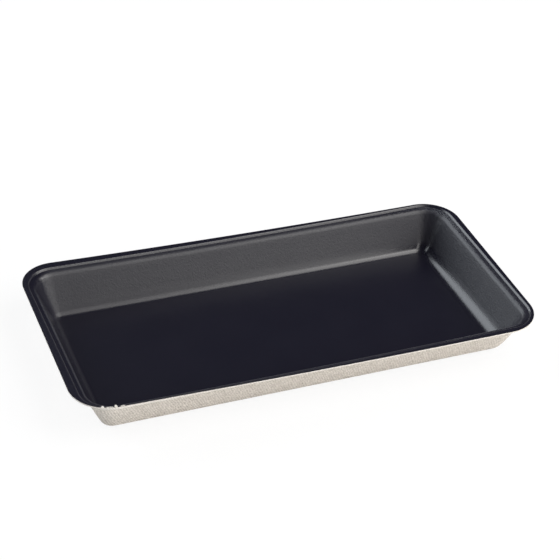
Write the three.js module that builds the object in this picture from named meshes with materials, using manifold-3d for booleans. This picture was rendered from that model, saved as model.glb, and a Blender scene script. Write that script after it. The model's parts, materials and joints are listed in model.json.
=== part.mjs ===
// Rectangular takeaway plate: a deep tray pressed from fibre board, with a thin dark film
// laminated over its inside and over the top of its rim.
// The laminated sheet is pressed to its form first, and a die then cuts the outline of the rim.
// Millimetres, +Z up, length along X. The origin is under the middle of the cut outline, on the table.

import * as THREE from "three";
import { mergeVertices } from "three/addons/utils/BufferGeometryUtils.js";
import Module from "manifold-3d";

// Outline that the trimming die cuts
const plateLength = 260;
const plateWidth = 130;
const plateHeight = 24.8;
const trimCornerRadius = 19.8;

// The die meets the pressed form a little turned and shifted
const formTurnDegrees = 0.86;
const formShiftX = 0.52;
const formShiftY = -0.63;

// Thickness of the two layers
const fibreThickness = 0.75;
const filmThickness = 0.05;

// Crest, where the flat flange breaks over into the tray
const crestLength = 255.2;
const crestWidth = 126.8;
const crestCornerRadius = 16.5;
const crestUnderRadius = 0.3;

// Step and ledge below the crest
const stepDrop = 2.1;
const stepTiltDegrees = 66;
const stepFootRadius = 0.5;
const ledgeWidth = 0.4;
const ledgeTiltDegrees = 8;

// Wall and its bends into the ledge and the floor
const shoulderRadius = 2.8;
const wallTiltDegrees = 65.5;
const floorBendRadius = 5.2;
const floorCornerRadius = 2.5;

// The long sides of the rim dip towards their middle
const rimDip = 1.4;

// Pressed stock left outside the crest for the die to cut away
const flangeStock = 14;

// Fineness of the surfaces
const cornerSteps = 8;
const longSideSteps = 6;
const shortSideSteps = 2;
const smallBendSteps = 3;
const largeBendSteps = 5;

const sheetThickness = fibreThickness + filmThickness;
const floorDrop = plateHeight - sheetThickness;
const toRadians = THREE.MathUtils.degToRad;

const wasm = await Module();
wasm.setup();

// Walks down the upper surface of the section, from the flange to the floor.
// Each station has its inset from the crest, its drop below the rim and its tilt below level.
function sectionStations() {
  const crestRadius = crestUnderRadius + sheetThickness;
  const stepTilt = toRadians(stepTiltDegrees);
  const ledgeTilt = toRadians(ledgeTiltDegrees);
  const wallTilt = toRadians(wallTiltDegrees);
  const stations = [{ inset: -flangeStock, drop: 0, tilt: 0 }];

  const straight = (length) => {
    const { inset, drop, tilt } = stations.at(-1);
    stations.push({
      inset: inset + length * Math.cos(tilt),
      drop: drop + length * Math.sin(tilt),
      tilt,
    });
  };
  const straightDownTo = (drop) => {
    const last = stations.at(-1);
    straight((drop - last.drop) / Math.sin(last.tilt));
  };
  const bend = (radius, toTilt, steps) => {
    const { inset, drop, tilt } = stations.at(-1);
    const side = Math.sign(toTilt - tilt);
    for (let i = 1; i <= steps; i++) {
      const reached = THREE.MathUtils.lerp(tilt, toTilt, i / steps);
      stations.push({
        inset: inset + side * radius * (Math.sin(reached) - Math.sin(tilt)),
        drop: drop + side * radius * (Math.cos(tilt) - Math.cos(reached)),
        tilt: reached,
      });
    }
  };

  straight(flangeStock);
  bend(crestRadius, stepTilt, smallBendSteps);
  straightDownTo(stepDrop - stepFootRadius * (Math.cos(ledgeTilt) - Math.cos(stepTilt)));
  bend(stepFootRadius, ledgeTilt, smallBendSteps);
  straight(ledgeWidth);
  bend(shoulderRadius, wallTilt, largeBendSteps);
  straightDownTo(floorDrop - floorBendRadius * (1 - Math.cos(wallTilt)));
  bend(floorBendRadius, 0, largeBendSteps);
  return stations;
}

// Points of a rounded rectangle, anticlockwise from the right-hand end of its far corner.
// Each point has the direction that it faces, as an angle in plan.
function roundedRectangle(halfLength, halfWidth, radius) {
  const quarter = Math.PI / 2;
  const signs = [[1, 1], [-1, 1], [-1, -1], [1, -1]];
  const cornerPoint = (corner, share) => {
    const facing = (corner + share) * quarter;
    const [signX, signY] = signs[corner % signs.length];
    return {
      x: signX * (halfLength - radius) + radius * Math.cos(facing),
      y: signY * (halfWidth - radius) + radius * Math.sin(facing),
      facing,
    };
  };
  const points = [];
  for (let corner = 0; corner < signs.length; corner++) {
    for (let i = 0; i <= cornerSteps; i++) points.push(cornerPoint(corner, i / cornerSteps));
    const sideSteps = corner % 2 === 0 ? longSideSteps : shortSideSteps;
    const start = cornerPoint(corner, 1);
    const end = cornerPoint(corner + 1, 0);
    for (let i = 1; i < sideSteps; i++) {
      const share = i / sideSteps;
      points.push({
        x: THREE.MathUtils.lerp(start.x, end.x, share),
        y: THREE.MathUtils.lerp(start.y, end.y, share),
        facing: start.facing,
      });
    }
  }
  return points;
}

// Lowers a point with the dip of the rim, which fades out towards the floor.
function withRimDip(x, y, z) {
  const alongLength = 1 - (x / (plateLength / 2)) ** 2;
  const upTheWall = THREE.MathUtils.smoothstep(z, sheetThickness, plateHeight);
  return new THREE.Vector3(x, y, z - rimDip * alongLength * upTheWall);
}

// Ring of one station, at a depth measured square to the upper surface, turned and shifted into place.
// The corners tighten steadily from the crest to the floor, so their walls are parts of cones.
function stationRing({ inset, drop, tilt }, floorInset, depth) {
  const radiusFall = (crestCornerRadius - floorCornerRadius) / floorInset;
  const turn = toRadians(formTurnDegrees);
  const outline = roundedRectangle(
    crestLength / 2 - inset,
    crestWidth / 2 - inset,
    crestCornerRadius - radiusFall * inset,
  );
  return outline.map(({ x, y, facing }) => {
    const outX = Math.cos(facing);
    const outY = Math.sin(facing);
    const cornerSpread = Math.abs(outX) + Math.abs(outY);
    const run = Math.cos(tilt) * (radiusFall + (1 - radiusFall) * cornerSpread);
    const fall = Math.sin(tilt);
    const slant = Math.hypot(run, fall);
    const formX = x + ((depth * fall) / slant) * outX;
    const formY = y + ((depth * fall) / slant) * outY;
    return withRimDip(
      formX * Math.cos(turn) - formY * Math.sin(turn) + formShiftX,
      formX * Math.sin(turn) + formY * Math.cos(turn) + formShiftY,
      plateHeight - drop - (depth * run) / slant,
    );
  });
}

// Closed sheet pressed between two depths: both faces, its outer edge and the flat floor.
function pressedSheet(upperDepth, lowerDepth) {
  const stations = sectionStations();
  const floorInset = stations.at(-1).inset;
  const positions = [];
  const indices = [];
  const addFace = (depth, facesUp) => {
    const rings = stations.map((station) => stationRing(station, floorInset, depth));
    const count = rings[0].length;
    const first = positions.length / 3;
    const triangle = (a, b, c) => (facesUp ? indices.push(a, b, c) : indices.push(a, c, b));
    for (const point of rings.flat()) positions.push(point.x, point.y, point.z);
    for (let ring = 0; ring + 1 < rings.length; ring++) {
      for (let i = 0; i < count; i++) {
        const here = first + ring * count + i;
        const next = first + ring * count + ((i + 1) % count);
        triangle(here, next, next + count);
        triangle(here, next + count, here + count);
      }
    }
    const floorRing = first + (rings.length - 1) * count;
    const floorCentre = positions.length / 3;
    positions.push(formShiftX, formShiftY, plateHeight - floorDrop - depth);
    for (let i = 0; i < count; i++) triangle(floorRing + i, floorRing + ((i + 1) % count), floorCentre);
    return { first, count };
  };
  const upper = addFace(upperDepth, true);
  const lower = addFace(lowerDepth, false);
  for (let i = 0; i < upper.count; i++) {
    const next = (i + 1) % upper.count;
    indices.push(lower.first + i, lower.first + next, upper.first + next);
    indices.push(lower.first + i, upper.first + next, upper.first + i);
  }
  const geometry = new THREE.BufferGeometry();
  geometry.setAttribute("position", new THREE.Float32BufferAttribute(positions, 3));
  geometry.setIndex(indices);
  return geometry;
}

// Block of the cut outline, tall enough to pass through the whole pressed sheet.
function dieBlock() {
  const overrun = 5;
  const right = plateLength / 2 - trimCornerRadius;
  const far = plateWidth / 2 - trimCornerRadius;
  const quarter = Math.PI / 2;
  const outline = new THREE.Shape();
  outline.absarc(right, far, trimCornerRadius, 0, quarter);
  outline.absarc(-right, far, trimCornerRadius, quarter, 2 * quarter);
  outline.absarc(-right, -far, trimCornerRadius, 2 * quarter, 3 * quarter);
  outline.absarc(right, -far, trimCornerRadius, 3 * quarter, 4 * quarter);
  const block = new THREE.ExtrudeGeometry(outline, {
    depth: plateHeight + 2 * overrun,
    bevelEnabled: false,
    curveSegments: 2 * cornerSteps,
  });
  return block.translate(0, 0, -overrun);
}

// Solid of a closed geometry, for cutting.
function solidOf(geometry) {
  const bare = geometry.clone();
  bare.deleteAttribute("normal");
  bare.deleteAttribute("uv");
  const merged = mergeVertices(bare);
  return new wasm.Manifold(
    new wasm.Mesh({
      numProp: 3,
      vertProperties: merged.attributes.position.array,
      triVerts: new Uint32Array(merged.index.array),
    }),
  );
}

// Sheet pressed between two depths and cut to the outline.
function trimmedSheet(upperDepth, lowerDepth) {
  const cut = solidOf(pressedSheet(upperDepth, lowerDepth)).intersect(solidOf(dieBlock())).getMesh();
  const geometry = new THREE.BufferGeometry();
  geometry.setAttribute("position", new THREE.BufferAttribute(cut.vertProperties, 3));
  geometry.setIndex(new THREE.BufferAttribute(cut.triVerts, 1));
  geometry.computeVertexNormals();
  return geometry;
}

// Pressed fibre board, pale and dull, which carries the film.
function fibreTray() {
  const material = new THREE.MeshStandardMaterial({ color: 0xc3baaf, roughness: 0.9, metalness: 0 });
  const mesh = new THREE.Mesh(trimmedSheet(filmThickness, sheetThickness), material);
  mesh.name = "fibre_tray";
  return mesh;
}

// Dark laminated film, bonded to the whole upper side of the fibre board.
function filmLining() {
  const material = new THREE.MeshStandardMaterial({ color: 0x1d1b21, roughness: 0.35, metalness: 0 });
  const mesh = new THREE.Mesh(trimmedSheet(0, filmThickness), material);
  mesh.name = "film_lining";
  return mesh;
}

const plate = new THREE.Group();
plate.add(fibreTray(), filmLining());

export default plate;
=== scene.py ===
"""Takeaway plate pressed from pale fibre board and lined with dark film.

The board and its film are lofted as one pressed sheet, given their thicknesses, and cut to the
outline of the rim by a die, as the real plate is made. Sizes of the plate are in millimetres,
and everything that Blender receives is in metres.
"""

import json
import logging
import math
from dataclasses import dataclass, field
from enum import Enum

import bmesh
import bpy
from mathutils import Matrix, Vector

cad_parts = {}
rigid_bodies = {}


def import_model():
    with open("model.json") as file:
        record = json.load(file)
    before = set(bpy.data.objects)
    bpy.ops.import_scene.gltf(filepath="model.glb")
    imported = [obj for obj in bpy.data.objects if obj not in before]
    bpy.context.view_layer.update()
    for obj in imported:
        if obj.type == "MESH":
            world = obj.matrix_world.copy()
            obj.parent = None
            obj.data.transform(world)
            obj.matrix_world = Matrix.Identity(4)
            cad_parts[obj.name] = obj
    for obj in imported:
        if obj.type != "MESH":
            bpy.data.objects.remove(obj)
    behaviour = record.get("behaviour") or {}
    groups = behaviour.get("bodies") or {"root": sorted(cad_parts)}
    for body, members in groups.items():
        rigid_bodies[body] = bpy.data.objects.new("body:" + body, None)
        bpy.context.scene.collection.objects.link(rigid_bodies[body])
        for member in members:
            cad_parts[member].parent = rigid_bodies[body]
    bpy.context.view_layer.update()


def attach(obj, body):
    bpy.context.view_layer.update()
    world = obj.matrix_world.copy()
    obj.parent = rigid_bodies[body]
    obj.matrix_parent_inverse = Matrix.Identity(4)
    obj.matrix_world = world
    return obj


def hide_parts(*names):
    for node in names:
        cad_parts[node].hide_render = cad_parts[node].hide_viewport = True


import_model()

log = logging.getLogger("plate")

MM = 0.001

# Sizes of the plate that more than one class needs
PLATE_LENGTH = 260.0
PLATE_WIDTH = 130.0
PLATE_HEIGHT = 24.8
FIBRE_THICKNESS = 0.75
FILM_THICKNESS = 0.05

# Tags of the rings while the sheet is lofted
RING_LAYER = "ring"
UNTAGGED = 0

# Middle of a value that goes from 0 to 1
MIDDLE = 0.5

# An area lamp with this many watts to the square metre looks as bright as white
WHITE_PANEL_POWER = 4.0

WHITE = (1.0, 1.0, 1.0, 1.0)

Span = tuple[float, float]
Colour = tuple[float, float, float]


class Layer(Enum):
    """The two layers of the laminate, by the name of the solid that each one stands for."""

    FIBRE = "fibre_tray"
    FILM = "film_lining"


class Slot(Enum):
    """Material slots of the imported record."""

    BOARD = "fibre_board"
    FILM = "black_film"


# Modelling helpers


def deselect_everything() -> None:
    """Leaves object mode with nothing selected."""
    if bpy.context.mode != "OBJECT":
        bpy.ops.object.mode_set(mode="OBJECT")
    bpy.ops.object.select_all(action="DESELECT")


def make_active(piece: bpy.types.Object) -> None:
    """Makes a piece the only selected object and the active one.

    Args:
        piece: The object to work on next.
    """
    deselect_everything()
    piece.select_set(True)
    bpy.context.view_layer.objects.active = piece


def apply_modifier(piece: bpy.types.Object, kind: str, settings: dict[str, object]) -> None:
    """Adds a modifier to a piece and applies it.

    Args:
        piece: The object that takes the modifier.
        kind: Blender's type of modifier.
        settings: The modifier's properties and their values.
    """
    make_active(piece)
    modifier = piece.modifiers.new(kind.title(), kind)
    for name, value in settings.items():
        setattr(modifier, name, value)
    bpy.ops.object.modifier_apply(modifier=modifier.name)


def apply_placement(piece: bpy.types.Object) -> None:
    """Moves a piece's place, turn and scale into its mesh."""
    make_active(piece)
    bpy.ops.object.transform_apply(location=True, rotation=True, scale=True)


def smooth_surface(piece: bpy.types.Object, sharpest_degrees: float) -> None:
    """Shades a piece smooth, and keeps the edges sharp that turn more than an angle."""
    make_active(piece)
    bpy.ops.object.shade_smooth_by_angle(angle=math.radians(sharpest_degrees))


def select_only(mesh: bmesh.types.BMesh, chosen: list[bmesh.types.BMEdge]) -> None:
    """Selects some edges of the mesh being edited, and nothing else.

    Args:
        mesh: The mesh being edited.
        chosen: Its edges that are wanted.
    """
    for part in (*mesh.faces, *mesh.edges, *mesh.verts):
        part.select = False
    for edge in chosen:
        edge.select = True
    mesh.select_flush_mode()
    bmesh.update_edit_mesh(bpy.context.edit_object.data)


def select_rings(*wanted: int) -> None:
    """Selects the rings with the given tags, and nothing else.

    Args:
        wanted: The tags of the rings.
    """
    mesh = bmesh.from_edit_mesh(bpy.context.edit_object.data)
    tags = mesh.edges.layers.int[RING_LAYER]
    select_only(mesh, [edge for edge in mesh.edges if edge[tags] in wanted])


def face_upwards(piece: bpy.types.Object) -> None:
    """Turns a sheet's faces over if the floor, the largest of them, looks down.

    Args:
        piece: The sheet.
    """
    floor = max(piece.data.polygons, key=lambda face: face.area)
    if floor.normal.z < 0:
        piece.data.flip_normals()


def hand_over(
    piece: bpy.types.Object, layer: Layer | None, material: bpy.types.Material
) -> None:
    """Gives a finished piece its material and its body.

    Args:
        piece: The finished object.
        layer: The solid that it stands for, or None for a small extra piece.
        material: The finish itself.
    """
    piece.data.materials.clear()
    piece.data.materials.append(material)
    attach(piece, "root")
    if layer is not None:
        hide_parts(layer.value)
    log.info("%s: %d faces", piece.name, len(piece.data.polygons))


# The pressed form


def smooth_rise(value: float, low: float, high: float) -> float:
    """Rises smoothly from 0 at low to 1 at high."""
    share = min(max((value - low) / (high - low), 0.0), 1.0)
    return share * share * (3 - 2 * share)


@dataclass(frozen=True)
class Station:
    """A point on the section of the upper surface, in millimetres and radians.

    Attributes:
        inset: Distance inwards from the crest.
        drop: Distance below the rim.
        tilt: Slope below level.
    """

    inset: float
    drop: float
    tilt: float


@dataclass
class PressedForm:
    """Upper surface of the laminate as the press leaves it, before the outline is cut.

    Sizes are in millimetres, and tilts are measured below level. The crest is where the flat
    flange breaks over into the tray, and the stock is what the die cuts away outside it.
    """

    height: float = PLATE_HEIGHT
    sheet_thickness: float = FIBRE_THICKNESS + FILM_THICKNESS
    crest_length: float = 255.2
    crest_width: float = 126.8
    crest_corner_radius: float = 16.5
    crest_radius: float = 1.0
    step_drop: float = 1.15
    step_tilt: float = math.radians(60)
    step_foot_radius: float = 0.35
    ledge_width: float = 1.2
    ledge_tilt: float = math.radians(10)
    shoulder_radius: float = 3.4
    wall_top_tilt: float = math.radians(68.5)
    wall_foot_tilt: float = math.radians(63.5)
    floor_bend_radius: float = 4.2
    floor_corner_radius: float = 2.5
    rim_dip: float = 1.4
    soft_bend_radius: float = 8.5
    soft_end_from: float = 80.0
    soft_end_to: float = 110.0
    stock_width: float = 14.0
    turn: float = math.radians(0.86)
    shift_x: float = 0.52
    shift_y: float = -0.63
    corner_cuts: int = 16
    long_side_cuts: int = 23
    short_side_cuts: int = 9
    small_bend_steps: int = 6
    large_bend_steps: int = 10
    wall_steps: int = 8

    def stations(self) -> list[Station]:
        """Walks the section from the outside of the stock to the flat floor.

        The wall is slightly hollow, so it is one very wide bend.

        Returns:
            The stations in order, from the flange down to the floor.
        """
        walk = [Station(-self.stock_width, 0.0, 0.0)]

        def straight(length: float) -> None:
            """Goes on at the same slope, for a length."""
            start = walk[-1]
            walk.append(
                Station(
                    start.inset + length * math.cos(start.tilt),
                    start.drop + length * math.sin(start.tilt),
                    start.tilt,
                )
            )

        def straight_down_to(drop: float) -> None:
            """Goes on at the same slope, down to a drop."""
            straight((drop - walk[-1].drop) / math.sin(walk[-1].tilt))

        def bend(radius: float, to_tilt: float, steps: int) -> None:
            """Turns to another slope along an arc.

            Args:
                radius: Radius of the arc.
                to_tilt: The slope that it ends at.
                steps: Number of stations along it.
            """
            start = walk[-1]
            side = math.copysign(radius, to_tilt - start.tilt)
            for step in range(1, steps + 1):
                tilt = start.tilt + (to_tilt - start.tilt) * step / steps
                walk.append(
                    Station(
                        start.inset + side * (math.sin(tilt) - math.sin(start.tilt)),
                        start.drop + side * (math.cos(start.tilt) - math.cos(tilt)),
                        tilt,
                    )
                )

        foot_fall = self.step_foot_radius * (math.cos(self.ledge_tilt) - math.cos(self.step_tilt))
        floor_drop = self.height - self.sheet_thickness
        bend_fall = self.floor_bend_radius * (1 - math.cos(self.wall_foot_tilt))
        straight(self.stock_width)
        bend(self.crest_radius, self.step_tilt, self.small_bend_steps)
        straight_down_to(self.step_drop - foot_fall)
        bend(self.step_foot_radius, self.ledge_tilt, self.small_bend_steps)
        straight(self.ledge_width)
        bend(self.shoulder_radius, self.wall_top_tilt, self.large_bend_steps)
        wall_fall = floor_drop - bend_fall - walk[-1].drop
        wall_radius = wall_fall / (math.cos(self.wall_foot_tilt) - math.cos(self.wall_top_tilt))
        bend(wall_radius, self.wall_foot_tilt, self.wall_steps)
        bend(self.floor_bend_radius, 0.0, self.large_bend_steps)
        return walk

    def add_ring(self, station: Station, floor_inset: float) -> None:
        """Adds the rounded rectangle of one station to the mesh being edited.

        A plane at the ring's size has its four corners rounded, and then loses its face.

        Args:
            station: The station that the ring passes through.
            floor_inset: Inset of the last station, where the corners are tightest.
        """
        shrink = (self.crest_corner_radius - self.floor_corner_radius) / floor_inset
        radius = self.crest_corner_radius - shrink * station.inset
        length = self.crest_length - 2 * station.inset
        width = self.crest_width - 2 * station.inset
        centre = (0, 0, (self.height - station.drop) * MM)
        bpy.ops.mesh.primitive_plane_add(size=1.0, location=centre)
        bpy.ops.transform.resize(value=(length * MM, width * MM, 1.0), center_override=centre)
        bpy.ops.mesh.bevel(
            offset=radius * MM, segments=self.corner_cuts, affect="VERTICES", clamp_overlap=False
        )
        bpy.ops.mesh.select_linked()
        bpy.ops.mesh.delete(type="ONLY_FACE")

    def divide_sides(self, ring_tag: int) -> None:
        """Tags the newest ring, and divides its four straight sides.

        Args:
            ring_tag: The number that the new ring's edges are given.
        """
        mesh = bmesh.from_edit_mesh(bpy.context.edit_object.data)
        tags = mesh.edges.layers.int[RING_LAYER]
        fresh = [edge for edge in mesh.edges if edge[tags] == UNTAGGED]
        # The straight sides are the four longest edges, and the short ones come first
        sides = sorted(fresh, key=lambda edge: edge.calc_length())[-4:]
        for edge in fresh:
            edge[tags] = ring_tag
        for chosen, cuts in ((sides[:2], self.short_side_cuts), (sides[2:], self.long_side_cuts)):
            select_only(mesh, chosen)
            bpy.ops.mesh.subdivide(number_cuts=cuts)

    def sheet(self, name: str) -> bpy.types.Object:
        """Lofts the upper surface through its rings and closes the floor.

        Args:
            name: Name of the new object.

        Returns:
            The surface, turned and shifted to where the die meets it.
        """
        deselect_everything()
        piece = bpy.data.objects.new(name, bpy.data.meshes.new(name))
        bpy.context.scene.collection.objects.link(piece)
        make_active(piece)
        bpy.ops.object.mode_set(mode="EDIT")
        bmesh.from_edit_mesh(piece.data).edges.layers.int.new(RING_LAYER)
        bpy.ops.mesh.select_mode(type="EDGE")
        stations = self.stations()
        for number, station in enumerate(stations, start=1):
            self.add_ring(station, stations[-1].inset)
            self.divide_sides(number)
        for number in range(1, len(stations)):
            select_rings(number, number + 1)
            bpy.ops.mesh.bridge_edge_loops()
        select_rings(len(stations))
        bpy.ops.mesh.edge_face_add()
        bpy.ops.mesh.select_all(action="SELECT")
        bpy.ops.mesh.normals_make_consistent(inside=False)
        # With no window, this operator turns the other way
        bpy.ops.transform.rotate(value=-self.turn, orient_axis="Z", center_override=(0, 0, 0))
        bpy.ops.transform.translate(value=(self.shift_x * MM, self.shift_y * MM, 0))
        bpy.ops.object.mode_set(mode="OBJECT")
        face_upwards(piece)
        self.soften_right_bend(piece)
        self.let_rim_dip(piece)
        return piece

    def bend_reach(self, radius: float, lift: float) -> float:
        """Finds how far in from the foot of the wall a floor bend lies.

        Args:
            radius: Radius of the bend.
            lift: Height above the floor.

        Returns:
            The distance inwards, which is below zero on the wall above the bend.
        """
        if lift >= radius * (1 - math.cos(self.wall_foot_tilt)):
            return -lift / math.tan(self.wall_foot_tilt)
        tilt = math.acos(1 - max(lift, 0.0) / radius)
        return radius * (math.tan(self.wall_foot_tilt / 2) - math.sin(tilt))

    def soften_right_bend(self, piece: bpy.types.Object) -> None:
        """Gives the right-hand end a wider bend between its wall and the floor.

        Args:
            piece: The pressed sheet.
        """
        for vertex in piece.data.vertices:
            x, _, z = vertex.co / MM
            lift = z - self.sheet_thickness
            spread = self.bend_reach(self.soft_bend_radius, lift)
            spread -= self.bend_reach(self.floor_bend_radius, lift)
            vertex.co.x -= spread * smooth_rise(x, self.soft_end_from, self.soft_end_to) * MM

    def let_rim_dip(self, piece: bpy.types.Object) -> None:
        """Lowers the long sides towards their middle, less and less towards the floor.

        Args:
            piece: The pressed sheet.
        """
        for vertex in piece.data.vertices:
            x, _, z = vertex.co / MM
            rise = smooth_rise(z, self.sheet_thickness, self.height)
            vertex.co.z -= self.rim_dip * (1 - (x / (PLATE_LENGTH / 2)) ** 2) * rise * MM


@dataclass
class TrimDie:
    """Die that cuts the outline of the rim."""

    length: float = PLATE_LENGTH
    width: float = PLATE_WIDTH
    corner_radius: float = 19.8
    corner_cuts: int = 40
    bottom: float = -10.0
    top: float = 30.0

    def block(self) -> bpy.types.Object:
        """Makes the block of the cut outline, taller than the pressed sheet.

        Returns:
            The block, a box with its four upright edges rounded.
        """
        deselect_everything()
        bpy.ops.mesh.primitive_cube_add(
            size=1.0,
            location=(0, 0, (self.bottom + self.top) / 2 * MM),
            scale=(self.length * MM, self.width * MM, (self.top - self.bottom) * MM),
        )
        block = bpy.context.object
        bpy.ops.object.mode_set(mode="EDIT")
        mesh = bmesh.from_edit_mesh(block.data)
        runs = [(edge, edge.verts[0].co - edge.verts[1].co) for edge in mesh.edges]
        select_only(mesh, [edge for edge, run in runs if abs(run.z) > abs(run.x) + abs(run.y)])
        bpy.ops.mesh.bevel(
            offset=self.corner_radius * MM,
            segments=self.corner_cuts,
            affect="EDGES",
            clamp_overlap=False,
        )
        bpy.ops.object.mode_set(mode="OBJECT")
        apply_placement(block)
        return block

    def cut(self, piece: bpy.types.Object) -> None:
        """Keeps what lies inside the outline, and clears the die away.

        Args:
            piece: The pressed layer.
        """
        block = self.block()
        settings = {"operation": "INTERSECT", "solver": "EXACT", "object": block}
        apply_modifier(piece, "BOOLEAN", settings)
        bpy.data.objects.remove(block)


# Shader helpers


class Signal:
    """A number that varies over a surface, which Python's operators can work on."""

    def __init__(self, sheet: "NodeSheet", socket: bpy.types.NodeSocket) -> None:
        """Wraps the output socket that carries the number."""
        self.sheet = sheet
        self.socket = socket

    def _maths(self, operation: str, first: object, second: object) -> "Signal":
        """Adds a Math node for an operation on two values."""
        node = self.sheet.add("ShaderNodeMath", {"operation": operation}, {0: first, 1: second})
        return Signal(self.sheet, node.outputs[0])

    def __add__(self, other: object) -> "Signal":
        """Sum."""
        return self._maths("ADD", self, other)

    def __radd__(self, other: object) -> "Signal":
        """Sum, from the right."""
        return self._maths("ADD", other, self)

    def __sub__(self, other: object) -> "Signal":
        """Difference."""
        return self._maths("SUBTRACT", self, other)

    def __rsub__(self, other: object) -> "Signal":
        """Difference, from the right."""
        return self._maths("SUBTRACT", other, self)

    def __mul__(self, other: object) -> "Signal":
        """Product."""
        return self._maths("MULTIPLY", self, other)

    def __rmul__(self, other: object) -> "Signal":
        """Product, from the right."""
        return self._maths("MULTIPLY", other, self)

    def __abs__(self) -> "Signal":
        """Size without its sign."""
        return self._maths("ABSOLUTE", self, 0.0)

    def larger_of(self, other: object) -> "Signal":
        """The larger of two values."""
        return self._maths("MAXIMUM", self, other)

    def sine(self) -> "Signal":
        """Sine of the value in radians."""
        return self._maths("SINE", self, 0.0)

    def mix(self, low: object, high: object) -> "Signal":
        """Goes from one value to another as this one goes from 0 to 1."""
        return low + (high - low) * self

    def between(self, low: float, high: float) -> "Signal":
        """Rises smoothly from 0 at low to 1 at high, or falls where high is below low."""
        inputs = {"Value": self, "From Min": low, "From Max": high}
        node = self.sheet.add("ShaderNodeMapRange", {"interpolation_type": "SMOOTHSTEP"}, inputs)
        return Signal(self.sheet, node.outputs[0])

    def across(self, start: float, end: float) -> "Signal":
        """Goes smoothly from 0 at one place to 1 at another, both in millimetres."""
        return self.between(start * MM, end * MM)

    def swing(self, strength: object) -> "Signal":
        """Turns a value from 0 to 1 into one that swings about 0, by a strength from end to end."""
        return strength * (self - MIDDLE)


@dataclass(frozen=True)
class Place:
    """The place on a piece in metres, as a vector and as its three numbers."""

    point: bpy.types.NodeSocket
    x: Signal
    y: Signal
    z: Signal


@dataclass(frozen=True)
class Noise:
    """A soft random pattern.

    Attributes:
        size: Size of its largest blobs, in millimetres.
        detail: Number of finer layers.
        roughness: Strength of each finer layer.
    """

    size: float
    detail: float
    roughness: float = 0.5


class NodeSheet:
    """A node tree that is written from Python expressions."""

    def __init__(self, tree: bpy.types.NodeTree) -> None:
        """Takes the tree over and empties it."""
        self.tree = tree
        tree.nodes.clear()

    def add(
        self, kind: str, settings: dict[str, object], inputs: dict[str | int, object]
    ) -> bpy.types.Node:
        """Adds a node.

        Args:
            kind: Blender's type of node.
            settings: The node's properties, which are set first.
            inputs: A value, a Signal or a socket for each input, by name or number.

        Returns:
            The new node.
        """
        node = self.tree.nodes.new(kind)
        for name, value in settings.items():
            setattr(node, name, value)
        for key, value in inputs.items():
            if isinstance(value, Signal):
                value = value.socket
            if isinstance(value, bpy.types.NodeSocket):
                self.tree.links.new(value, node.inputs[key])
            else:
                node.inputs[key].default_value = value
        return node

    def place(self) -> Place:
        """Reads the place on the piece.

        Returns:
            The place, in the piece's own axes.
        """
        point = self.add("ShaderNodeTexCoord", {}, {}).outputs["Object"]
        split = self.add("ShaderNodeSeparateXYZ", {}, {0: point})
        return Place(point, *(Signal(self, output) for output in split.outputs))

    def facing(self) -> tuple[Signal, Signal, Signal]:
        """Reads the direction that the smooth surface faces.

        Returns:
            The direction as three numbers.
        """
        normal = self.add("ShaderNodeTexCoord", {}, {}).outputs["Normal"]
        split = self.add("ShaderNodeSeparateXYZ", {}, {0: normal})
        return tuple(Signal(self, output) for output in split.outputs)

    def noise(self, point: bpy.types.NodeSocket, pattern: Noise) -> Signal:
        """Adds noise from 0 to 1.

        Args:
            point: The place at which it is read.
            pattern: Its size and fineness.

        Returns:
            The noise.
        """
        inputs = {
            "Vector": point,
            "Scale": 1 / (pattern.size * MM),
            "Detail": pattern.detail,
            "Roughness": pattern.roughness,
        }
        return Signal(self, self.add("ShaderNodeTexNoise", {}, inputs).outputs["Fac"])

    def cells(self, point: bpy.types.NodeSocket, size: float) -> Signal:
        """Adds a field of small soft cells.

        Args:
            point: The place at which it is read.
            size: Size of a cell, in millimetres.

        Returns:
            The distance from the middle of the nearest cell, from 0 to about 1.
        """
        inputs = {"Vector": point, "Scale": 1 / (size * MM)}
        node = self.add("ShaderNodeTexVoronoi", {"feature": "SMOOTH_F1"}, inputs)
        return Signal(self, node.outputs["Distance"])

    def stretched(
        self, point: bpy.types.NodeSocket, scale: tuple[float, float, float]
    ) -> bpy.types.NodeSocket:
        """Scales a place, so that a pattern read there is drawn out where the scale is small."""
        return self.add("ShaderNodeMapping", {}, {0: point, "Scale": scale}).outputs[0]

    def blend(self, factor: Signal, low: object, high: object) -> bpy.types.NodeSocket:
        """Mixes two colours.

        Args:
            factor: Share of the second colour.
            low: The first colour, or its socket.
            high: The second colour, or its socket.

        Returns:
            The mixed colour.
        """
        first, second = ((*shade, 1.0) if isinstance(shade, tuple) else shade for shade in (low, high))
        # The colours are inputs 6 and 7 and output 2, after those for numbers and vectors
        node = self.add("ShaderNodeMix", {"data_type": "RGBA"}, {0: factor, 6: first, 7: second})
        return node.outputs[2]

    def bump(self, height: Signal) -> bpy.types.NodeSocket:
        """Turns a height in metres into a normal."""
        node = self.add("ShaderNodeBump", {}, {"Strength": 1.0, "Distance": 1.0, "Height": height})
        return node.outputs[0]

    def end_in_surface(
        self, colour: bpy.types.NodeSocket, roughness: object, refraction: float, height: Signal
    ) -> None:
        """Ends the sheet in the surface of a piece.

        Args:
            colour: Its colour.
            roughness: Its roughness, one value or one that varies.
            refraction: Its index of refraction.
            height: Its fine relief, in metres.
        """
        inputs = {
            "Base Color": colour,
            "Roughness": roughness,
            "IOR": refraction,
            "Normal": self.bump(height),
        }
        shader = self.add("ShaderNodeBsdfPrincipled", {}, inputs)
        self.add("ShaderNodeOutputMaterial", {}, {0: shader.outputs[0]})


def new_material(name: str) -> tuple[bpy.types.Material, NodeSheet]:
    """Makes a material with an empty node sheet.

    Args:
        name: Name of the material.

    Returns:
        The material and its sheet.
    """
    material = bpy.data.materials.new(name)
    material.use_nodes = True
    return material, NodeSheet(material.node_tree)


# Finishes


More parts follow.
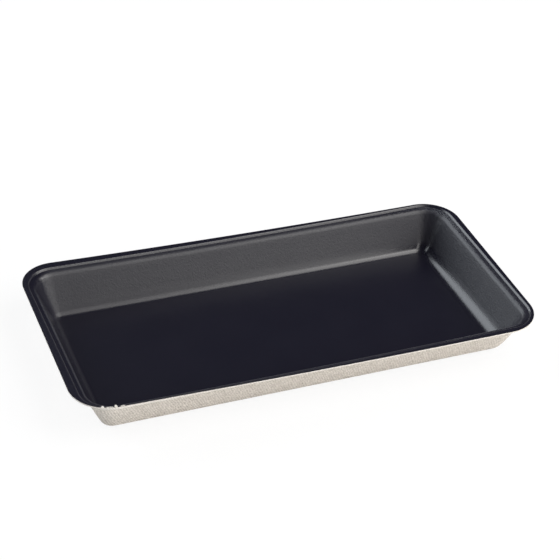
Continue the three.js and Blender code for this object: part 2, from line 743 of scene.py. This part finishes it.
@dataclass(frozen=True)
class FilmFinish:
    """Dark polymer film, satin, with the fine grain of the board showing through it.

    Sizes are in millimetres. A span goes from the place where its part is at 0 to the place where
    it is at 1, except for a contrast, whose two values are read on the noise itself.
    """

    dark: Colour = (0.0046, 0.0043, 0.0112)
    light: Colour = (0.0061, 0.0057, 0.0132)
    refraction: float = 1.58
    rim_dip: float = PressedForm.rim_dip
    half_length: float = PLATE_LENGTH / 2
    floor_roughness: float = 0.30
    wall_roughness: float = 0.48
    left_bend_roughness: float = 0.50
    right_bend_roughness: float = 0.24
    dull_crest_roughness: float = 0.31
    clear_crest_roughness: float = 0.25
    hidden_side_roughness: float = 0.28
    crinkle_roughness: float = 0.22
    roughness_drift: float = 0.05
    up_the_wall: Span = (1.5, 9.0)
    onto_bend_from_floor: Span = (1.0, 1.8)
    onto_bend_from_wall: Span = (7.0, 3.5)
    onto_ledge: Span = (22.8, 23.2)
    onto_crest: Span = (23.5, 24.1)
    left_to_right: Span = (-100.0, 120.0)
    to_far_right: Span = (-30.0, 30.0)
    far_right_slope: float = 0.5
    onto_left_wall: Span = (-110.0, -120.0)
    onto_near_wall: Span = (-52.0, -60.0)
    cloud: Noise = Noise(24.0, 3.0)
    grain: Noise = Noise(0.9, 2.0, 0.6)
    grain_height: float = 0.09
    floor_grain: float = 0.12
    pore_size: float = 1.3
    pore_depth: float = 0.5
    swell: Noise = Noise(9.0, 2.0)
    swell_height: float = 0.035
    crinkle: Noise = Noise(0.8, 3.0, 0.6)
    crinkle_stretch: float = 0.22
    crinkle_height: float = 0.45
    crinkle_calm: float = 0.3
    crinkle_to_right: Span = (60.0, 116.0)
    crinkle_to_far_side: Span = (0.0, 50.0)
    gather: Noise = Noise(3.0, 0.0)
    gather_contrast: Span = (0.35, 0.75)
    gather_stretch: float = 0.15
    gather_height: float = 0.12
    gather_to_end: Span = (110.0, 117.0)
    gather_to_side: Span = (47.0, 54.0)
    gather_foot: Span = (16.0, 18.0)
    gather_top: Span = (23.4, 22.6)

    def zones(self, place: Place) -> tuple[Signal, Signal, Signal]:
        """Finds the parts of the film that have a finish of their own.

        Args:
            place: The place on the piece.

        Returns:
            The wall, the crest and the crinkled ledge, each from 0 to 1.
        """
        on_wall = place.z.across(*self.up_the_wall)
        along = place.x * place.x * (1 / (self.half_length * MM) ** 2)
        level = place.z + self.rim_dip * MM * (1 - along)
        on_crest = level.across(*self.onto_crest)
        on_ledge = level.across(*self.onto_ledge) * (1 - on_crest)
        at_right = on_ledge * place.x.across(*self.crinkle_to_right)
        at_far_side = place.y.across(*self.crinkle_to_far_side)
        return on_wall, on_crest, at_right * at_far_side.mix(self.crinkle_calm, 1.0)

    def crinkles(self, sheet: NodeSheet, place: Place) -> Signal:
        """Fine gathers of the film, drawn out along the short side.

        Args:
            sheet: The node sheet that takes the nodes.
            place: The place on the piece.

        Returns:
            The height of the gathers in metres.
        """
        along = sheet.stretched(place.point, (1.0, self.crinkle_stretch, 1.0))
        folds = abs(sheet.noise(along, self.crinkle).swing(2.0))
        return folds * (self.crinkle_height * MM)

    def gathers(self, sheet: NodeSheet, place: Place) -> Signal:
        """Short upright folds where the film is gathered into the four corners below the step.

        Args:
            sheet: The node sheet that takes the nodes.
            place: The place on the piece.

        Returns:
            The height of the folds in metres.
        """
        in_corner = abs(place.x).across(*self.gather_to_end) * abs(place.y).across(*self.gather_to_side)
        below_step = place.z.across(*self.gather_foot) * place.z.across(*self.gather_top)
        upright = sheet.stretched(place.point, (1.0, 1.0, self.gather_stretch))
        folds = sheet.noise(upright, self.gather).between(*self.gather_contrast)
        return folds * in_corner * below_step * (self.gather_height * MM)

    def relief(self, sheet: NodeSheet, place: Place, on_wall: Signal, crinkled: Signal) -> Signal:
        """Adds up the grain, the pores, the slow swell and the folds of the film.

        Args:
            sheet: The node sheet that takes the nodes.
            place: The place on the piece.
            on_wall: The wall, where the grain is at its full height.
            crinkled: The crinkled part of the ledge.

        Returns:
            The height in metres.
        """
        grain = sheet.noise(place.point, self.grain)
        pores = sheet.cells(place.point, self.pore_size)
        swell = sheet.noise(place.point, self.swell)
        strength = on_wall.mix(self.floor_grain, 1.0) * (self.grain_height * MM)
        height = (grain + self.pore_depth * pores) * strength + swell * (self.swell_height * MM)
        return height + self.crinkles(sheet, place) * crinkled + self.gathers(sheet, place)

    def roughness(
        self, place: Place, on_wall: Signal, on_crest: Signal, crinkled: Signal, cloud: Signal
    ) -> Signal:
        """Lays the roughness of each part over the one before.

        Args:
            place: The place on the piece.
            on_wall: The wall.
            on_crest: The crest, which is clearer towards the far right.
            crinkled: The crinkled part of the ledge.
            cloud: Slow noise, for a drift from place to place.

        Returns:
            The roughness.
        """
        far_right = (self.far_right_slope * place.x + place.y).across(*self.to_far_right)
        crest = far_right.mix(self.dull_crest_roughness, self.clear_crest_roughness)
        at_right = place.x.across(*self.left_to_right)
        bend = at_right.mix(self.left_bend_roughness, self.right_bend_roughness)
        on_bend = place.z.across(*self.onto_bend_from_floor) * place.z.across(*self.onto_bend_from_wall)
        left_wall = place.x.across(*self.onto_left_wall)
        hidden_side = left_wall.larger_of(place.y.across(*self.onto_near_wall))
        roughness = on_wall.mix(self.floor_roughness, self.wall_roughness)
        roughness = on_bend.mix(roughness, bend)
        roughness = hidden_side.mix(roughness, self.hidden_side_roughness)
        roughness = on_crest.mix(roughness, crest)
        roughness = crinkled.mix(roughness, self.crinkle_roughness)
        return roughness + cloud.swing(self.roughness_drift)

    def material(self) -> bpy.types.Material:
        """Builds the film's material.

        Returns:
            The material.
        """
        material, sheet = new_material("dark_film")
        place = sheet.place()
        on_wall, on_crest, crinkled = self.zones(place)
        cloud = sheet.noise(place.point, self.cloud)
        sheet.end_in_surface(
            sheet.blend(cloud, self.dark, self.light),
            self.roughness(place, on_wall, on_crest, crinkled, cloud),
            self.refraction,
            self.relief(sheet, place, on_wall, crinkled),
        )
        return material


@dataclass(frozen=True)
class BoardFinish:
    """Pale pressed fibre, dull, marked by the wire mesh that it was felted on.

    Sizes are in millimetres, and spans and contrasts are as in the film's finish. The two spans
    towards the side and the base are read on the direction that the surface faces.
    """

    pale: Colour = (0.835, 0.785, 0.722)
    deep: Colour = (0.300, 0.268, 0.236)
    speck: Colour = (0.300, 0.250, 0.200)
    fresh: Colour = (0.740, 0.715, 0.670)
    matt_roughness: float = 0.86
    refraction: float = 1.45
    mesh_pitch: float = 1.42
    mesh_lean: float = 0.5
    mesh_height: float = 0.05
    rising_wires: float = 0.35
    falling_wires: float = 0.15
    mesh_contrast: Span = (0.1, 0.9)
    mesh_shares: Span = (0.14, 0.23)
    mesh_clears: Span = (30.0, -110.0)
    towards_side: Span = (0.55, 0.8)
    towards_base: Span = (0.75, 0.95)
    wander: Noise = Noise(5.0, 1.0)
    wander_reach: float = 1.8
    fibres: Noise = Noise(0.8, 3.0, 0.65)
    fibre_height: float = 0.05
    fibre_share: float = 0.26
    grain: Noise = Noise(1.1, 1.0)
    grain_contrast: Span = (0.25, 0.75)
    grain_share: float = 0.36
    cloud: Noise = Noise(7.0, 4.0, 0.6)
    cloud_share: float = 0.2
    specks: Noise = Noise(1.0, 2.0, 0.7)
    speck_contrast: Span = (0.60, 0.72)
    speck_share: float = 0.5
    near_rim: Span = (20.5, 23.2)
    fresh_share: float = 0.55

    def wires(self, first: Signal, second: Signal) -> Signal:
        """Diamonds of a wire mesh that runs diagonally across two directions.

        Args:
            first: The place along the one direction.
            second: The place along the other.

        Returns:
            The print of the wires, from 0 to 1.
        """
        turns = 2 * math.pi / (self.mesh_pitch * MM)
        rising = ((first + self.mesh_lean * second) * turns).sine()
        falling = ((first - self.mesh_lean * second) * turns).sine()
        waves = self.rising_wires * rising + self.falling_wires * falling
        return (waves + MIDDLE).between(*self.mesh_contrast)

    def mesh_print(self, sheet: NodeSheet, place: Place) -> Signal:
        """Prints the wires on the walls and the base, each from its own side, a little uneven.

        Args:
            sheet: The node sheet that takes the nodes.
            place: The place on the piece.

        Returns:
            The print, from 0 to 1.
        """
        facing_x, _, facing_z = sheet.facing()
        on_side = abs(facing_x).between(*self.towards_side)
        on_base = abs(facing_z).between(*self.towards_base)
        wander = sheet.noise(place.point, self.wander) * (self.wander_reach * MM)
        x, y = place.x + wander, place.y + wander
        on_walls = on_side.mix(self.wires(x, place.z), self.wires(y, place.z))
        return on_base.mix(on_walls, self.wires(x, y))

    def tone(
        self, sheet: NodeSheet, place: Place, wire_print: Signal, fibres: Signal
    ) -> bpy.types.NodeSocket:
        """Colours the board by its mottle, its fresh rim and its dark specks.

        Args:
            sheet: The node sheet that takes the nodes.
            place: The place on the piece.
            wire_print: The print of the wire mesh.
            fibres: The fine noise of the fibres.

        Returns:
            The colour.
        """
        grain = sheet.noise(place.point, self.grain).between(*self.grain_contrast)
        cloud = sheet.noise(place.point, self.cloud)
        specks = sheet.noise(place.point, self.specks).between(*self.speck_contrast)
        print_share = place.x.across(*self.mesh_clears).mix(*self.mesh_shares)
        mottle = MIDDLE + wire_print.swing(print_share) + grain.swing(self.grain_share)
        mottle = mottle + fibres.swing(self.fibre_share) + cloud.swing(self.cloud_share)
        tone = sheet.blend(mottle, self.deep, self.pale)
        tone = sheet.blend(self.fresh_share * place.z.across(*self.near_rim), tone, self.fresh)
        return sheet.blend(self.speck_share * specks, tone, self.speck)

    def material(self) -> bpy.types.Material:
        """Builds the board's material.

        Returns:
            The material.
        """
        material, sheet = new_material("pale_board")
        place = sheet.place()
        wire_print = self.mesh_print(sheet, place)
        fibres = sheet.noise(place.point, self.fibres)
        sheet.end_in_surface(
            self.tone(sheet, place, wire_print, fibres),
            self.matt_roughness,
            self.refraction,
            wire_print * (self.mesh_height * MM) + fibres * (self.fibre_height * MM),
        )
        return material


# Torn edge


@dataclass(frozen=True)
class TornChip:
    """A flake of board that the die tore up where it grazed the crest.

    Attributes:
        x: Place of its middle along the length, in millimetres.
        y: Place of its middle across the width.
        z: Height of its middle.
        length: Its length along the rim.
        reach: How far it reaches in over the film.
        rise: Its height.
        lean: How far it is turned about the upright axis, in degrees.
    """

    x: float
    y: float
    z: float
    length: float
    reach: float
    rise: float
    lean: float


@dataclass
class TornEdge:
    """The few flakes at the near left corner of the rim."""

    chips: tuple[TornChip, ...] = (
        TornChip(-117.0, -63.15, 24.44, 1.8, 1.4, 0.55, -20.0),
        TornChip(-113.9, -64.25, 24.34, 4.2, 0.5, 0.50, -10.0),
        TornChip(-110.5, -64.15, 24.28, 1.6, 1.4, 0.85, -2.0),
        TornChip(-107.2, -64.60, 24.15, 2.2, 0.4, 0.40, 0.0),
    )
    cuts: int = 3
    raggedness: float = 0.25
    tip_from: float = 0.1
    tip_shrink: tuple[float, float, float] = (0.45, 1.0, 0.7)
    rounding_levels: int = 1
    smooth_up_to: float = 50.0

    def chip(self, number: int, shape: TornChip) -> bpy.types.Object:
        """Shapes one flake from a block: divided, torn at random, and narrowed towards its tip.

        Args:
            number: The flake's number, which starts its random tear.
            shape: Its place and size.

        Returns:
            The flake.
        """
        deselect_everything()
        bpy.ops.mesh.primitive_cube_add(size=1.0)
        piece = bpy.context.object
        bpy.ops.object.mode_set(mode="EDIT")
        bpy.ops.mesh.subdivide(number_cuts=self.cuts)
        mesh = bmesh.from_edit_mesh(piece.data)
        for vertex in mesh.verts:
            vertex.select = vertex.co.y > self.tip_from
        mesh.select_flush_mode()
        bmesh.update_edit_mesh(piece.data)
        bpy.ops.transform.resize(value=self.tip_shrink, center_override=(0, 0, 0))
        bpy.ops.mesh.select_all(action="SELECT")
        bpy.ops.transform.vertex_random(offset=self.raggedness, seed=number)
        bpy.ops.object.mode_set(mode="OBJECT")
        levels = {"levels": self.rounding_levels, "render_levels": self.rounding_levels}
        apply_modifier(piece, "SUBSURF", levels)
        piece.scale = (shape.length * MM, shape.reach * MM, shape.rise * MM)
        piece.rotation_euler.z = math.radians(shape.lean)
        piece.location = Vector((shape.x, shape.y, shape.z)) * MM
        apply_placement(piece)
        return piece

    def build(self) -> bpy.types.Object:
        """Makes the chips and joins them into one piece.

        Returns:
            The joined chips.
        """
        pieces = [self.chip(number, shape) for number, shape in enumerate(self.chips, start=1)]
        make_active(pieces[0])
        for piece in pieces:
            piece.select_set(True)
        bpy.ops.object.join()
        joined = bpy.context.object
        joined.name = "torn_chips"
        smooth_surface(joined, self.smooth_up_to)
        return joined


# The plate


@dataclass
class LaminatedPlate:
    """The whole plate: one pressed form in two bonded layers, cut by one die."""

    form: PressedForm = field(default_factory=PressedForm)
    die: TrimDie = field(default_factory=TrimDie)
    torn_edge: TornEdge = field(default_factory=TornEdge)
    film_thickness: float = FILM_THICKNESS
    fibre_thickness: float = FIBRE_THICKNESS
    smooth_up_to: float = 34.0

    def layer(self, name: str, upper_depth: float, thickness: float) -> bpy.types.Object:
        """Presses and cuts one layer.

        Args:
            name: Name of the piece.
            upper_depth: Depth of the layer's upper face below the top of the laminate.
            thickness: Thickness of the layer.

        Returns:
            The closed, trimmed layer.
        """
        piece = self.form.sheet(name)
        # An offset of -1 starts the layer at the sheet, and each -2 more sinks it by its thickness
        settings = {
            "thickness": thickness * MM,
            "offset": -1 - 2 * upper_depth / thickness,
            "use_even_offset": True,
            "use_quality_normals": True,
            "use_rim": True,
        }
        apply_modifier(piece, "SOLIDIFY", settings)
        self.die.cut(piece)
        smooth_surface(piece, self.smooth_up_to)
        return piece

    def build(self) -> None:
        """Builds both layers and dresses them."""
        board = self.layer("pressed_board", self.film_thickness, self.fibre_thickness)
        board_finish = BoardFinish().material()
        hand_over(board, Layer.FIBRE, board_finish)
        hand_over(self.torn_edge.build(), None, board_finish)
        film = self.layer("inner_film", 0.0, self.film_thickness)
        hand_over(film, Layer.FILM, FilmFinish().material())


# The photograph's setting


@dataclass(frozen=True)
class Softbox:
    """A soft lamp that looks at the plate.

    Attributes:
        name: Name of the lamp.
        direction: Direction from the plate to the lamp.
        distance: Distance from the plate, in metres.
        width: Width of its panel, in metres.
        height: Height of its panel, in metres.
        glow: Brightness of its panel, where 1 is white.
        tint: Colour of its light.
    """

    name: str
    direction: tuple[float, float, float]
    distance: float
    width: float
    height: float
    glow: float
    tint: Colour

    def build(self) -> None:
        """Adds the lamp, with the power that its brightness and size need."""
        data = bpy.data.lights.new(self.name, "AREA")
        data.shape = "RECTANGLE"
        data.size = self.width
        data.size_y = self.height
        data.energy = WHITE_PANEL_POWER * self.width * self.height * self.glow
        data.color = self.tint
        lamp = bpy.data.objects.new(self.name, data)
        back = Vector(self.direction).normalized()
        lamp.location = back * self.distance
        lamp.rotation_euler = back.to_track_quat("Z", "Y").to_euler()
        lamp.visible_camera = False
        bpy.context.scene.collection.objects.link(lamp)


@dataclass(frozen=True)
class Studio:
    """Pale floor, soft lamps and a pale low backdrop."""

    floor_size: float = 60.0
    floor_gap: float = 0.0001
    floor_colour: Colour = (0.85, 0.85, 0.85)
    floor_glow: float = 0.88
    dim: float = 0.05
    backdrop: Span = (0.16, 0.08)
    softboxes: tuple[Softbox, ...] = (
        Softbox("overhead", (0.50, -0.25, 0.83), 1.2, 1.0, 1.0, 3.2, (1.0, 0.985, 0.96)),
        Softbox("front", (0.56, -0.72, 0.40), 1.6, 2.3, 1.6, 1.95, (1.0, 0.985, 0.96)),
        Softbox("window", (-0.62, 0.68, 0.38), 1.4, 1.5, 1.5, 3.1, (0.89, 0.945, 1.0)),
    )

    def floor(self) -> None:
        """Lays the floor, which shows white to the camera and keeps the plate's shadow."""
        deselect_everything()
        bpy.ops.mesh.primitive_plane_add(size=self.floor_size, location=(0, 0, -self.floor_gap))
        floor = bpy.context.object
        floor.name = "studio_floor"
        material, sheet = new_material("floor_paper")
        share = self.seen_directly(sheet) * self.floor_glow
        paper = sheet.add("ShaderNodeBsdfDiffuse", {}, {"Color": (*self.floor_colour, 1.0)})
        glow = sheet.add("ShaderNodeEmission", {}, {"Color": WHITE, "Strength": 1.0})
        inputs = {0: share, 1: paper.outputs[0], 2: glow.outputs[0]}
        mixed = sheet.add("ShaderNodeMixShader", {}, inputs)
        sheet.add("ShaderNodeOutputMaterial", {}, {0: mixed.outputs[0]})
        floor.data.materials.append(material)

    def seen_directly(self, sheet: NodeSheet) -> Signal:
        """Tells what is seen from what only gives light.

        Args:
            sheet: The node sheet that takes the nodes.

        Returns:
            1 for what the camera, a gloss or a clear material shows, and 0 for lighting.
        """
        path = sheet.add("ShaderNodeLightPath", {}, {})
        kinds = ("Is Camera Ray", "Is Glossy Ray", "Is Transmission Ray")
        camera, glossy, clear = (Signal(sheet, path.outputs[kind]) for kind in kinds)
        return camera.larger_of(glossy).larger_of(clear)

    def world(self) -> None:
        """Sets the dim surroundings, with a white backdrop low round the horizon."""
        world = bpy.data.worlds.new("studio_world")
        bpy.context.scene.world = world
        world.use_nodes = True
        sheet = NodeSheet(world.node_tree)
        direction = sheet.add("ShaderNodeTexCoord", {}, {}).outputs["Generated"]
        split = sheet.add("ShaderNodeSeparateXYZ", {}, {0: direction})
        low_down = Signal(sheet, split.outputs["Z"]).between(*self.backdrop)
        shown = self.seen_directly(sheet) * low_down
        inputs = {"Color": WHITE, "Strength": shown.mix(self.dim, 1.0)}
        background = sheet.add("ShaderNodeBackground", {}, inputs)
        sheet.add("ShaderNodeOutputWorld", {}, {0: background.outputs[0]})

    def build(self) -> None:
        """Sets up the floor, the surroundings, the lamps and the way that colours are shown."""
        self.floor()
        self.world()
        for softbox in self.softboxes:
            softbox.build()
        bpy.context.scene.view_settings.view_transform = "Standard"


@dataclass(frozen=True)
class PhotoCamera:
    """Camera at the photograph's angle, from a fit to the plate's rim, step, walls and base.

    The fit's own axes lie along the pressed form, level with the rim. The middle of the cut
    outline is at outline_x and outline_y in them.
    """

    lens: float = 109.86
    sensor: float = 36.0
    distance: float = 926.42
    azimuth: float = math.radians(-24.10)
    elevation: float = math.radians(35.01)
    roll: float = math.radians(4.17)
    across: float = -0.08
    up: float = 8.93
    outline_x: float = -0.53
    outline_y: float = 0.62
    form: PressedForm = field(default_factory=PressedForm)

    def build(self) -> None:
        """Places the camera and makes it the scene's own."""
        back = Vector(
            (
                math.sin(self.azimuth) * math.cos(self.elevation),
                -math.cos(self.azimuth) * math.cos(self.elevation),
                math.sin(self.elevation),
            )
        )
        level = Vector((math.cos(self.azimuth), math.sin(self.azimuth), 0))
        upright = back.cross(level)
        right = math.cos(self.roll) * level + math.sin(self.roll) * upright
        top = math.cos(self.roll) * upright - math.sin(self.roll) * level
        place = self.across * right + self.up * top + self.distance * back
        place -= Vector((self.outline_x, self.outline_y, 0))
        turn = Matrix.Rotation(self.form.turn, 3, "Z")
        axes = turn @ Matrix((right, top, back)).transposed()
        place = turn @ place + Vector((0, 0, self.form.height))
        data = bpy.data.cameras.new("photo_camera")
        data.lens = self.lens
        data.sensor_width = self.sensor
        camera = bpy.data.objects.new("photo_camera", data)
        camera.matrix_world = Matrix.Translation(place * MM) @ axes.to_4x4()
        bpy.context.scene.collection.objects.link(camera)
        bpy.context.scene.camera = camera


def main() -> None:
    """Builds the plate and the setting that it was photographed in."""
    logging.basicConfig(level=logging.INFO, format="%(name)s %(message)s")
    PhotoCamera().build()
    Studio().build()
    LaminatedPlate().build()


if __name__ == "__main__":
    main()
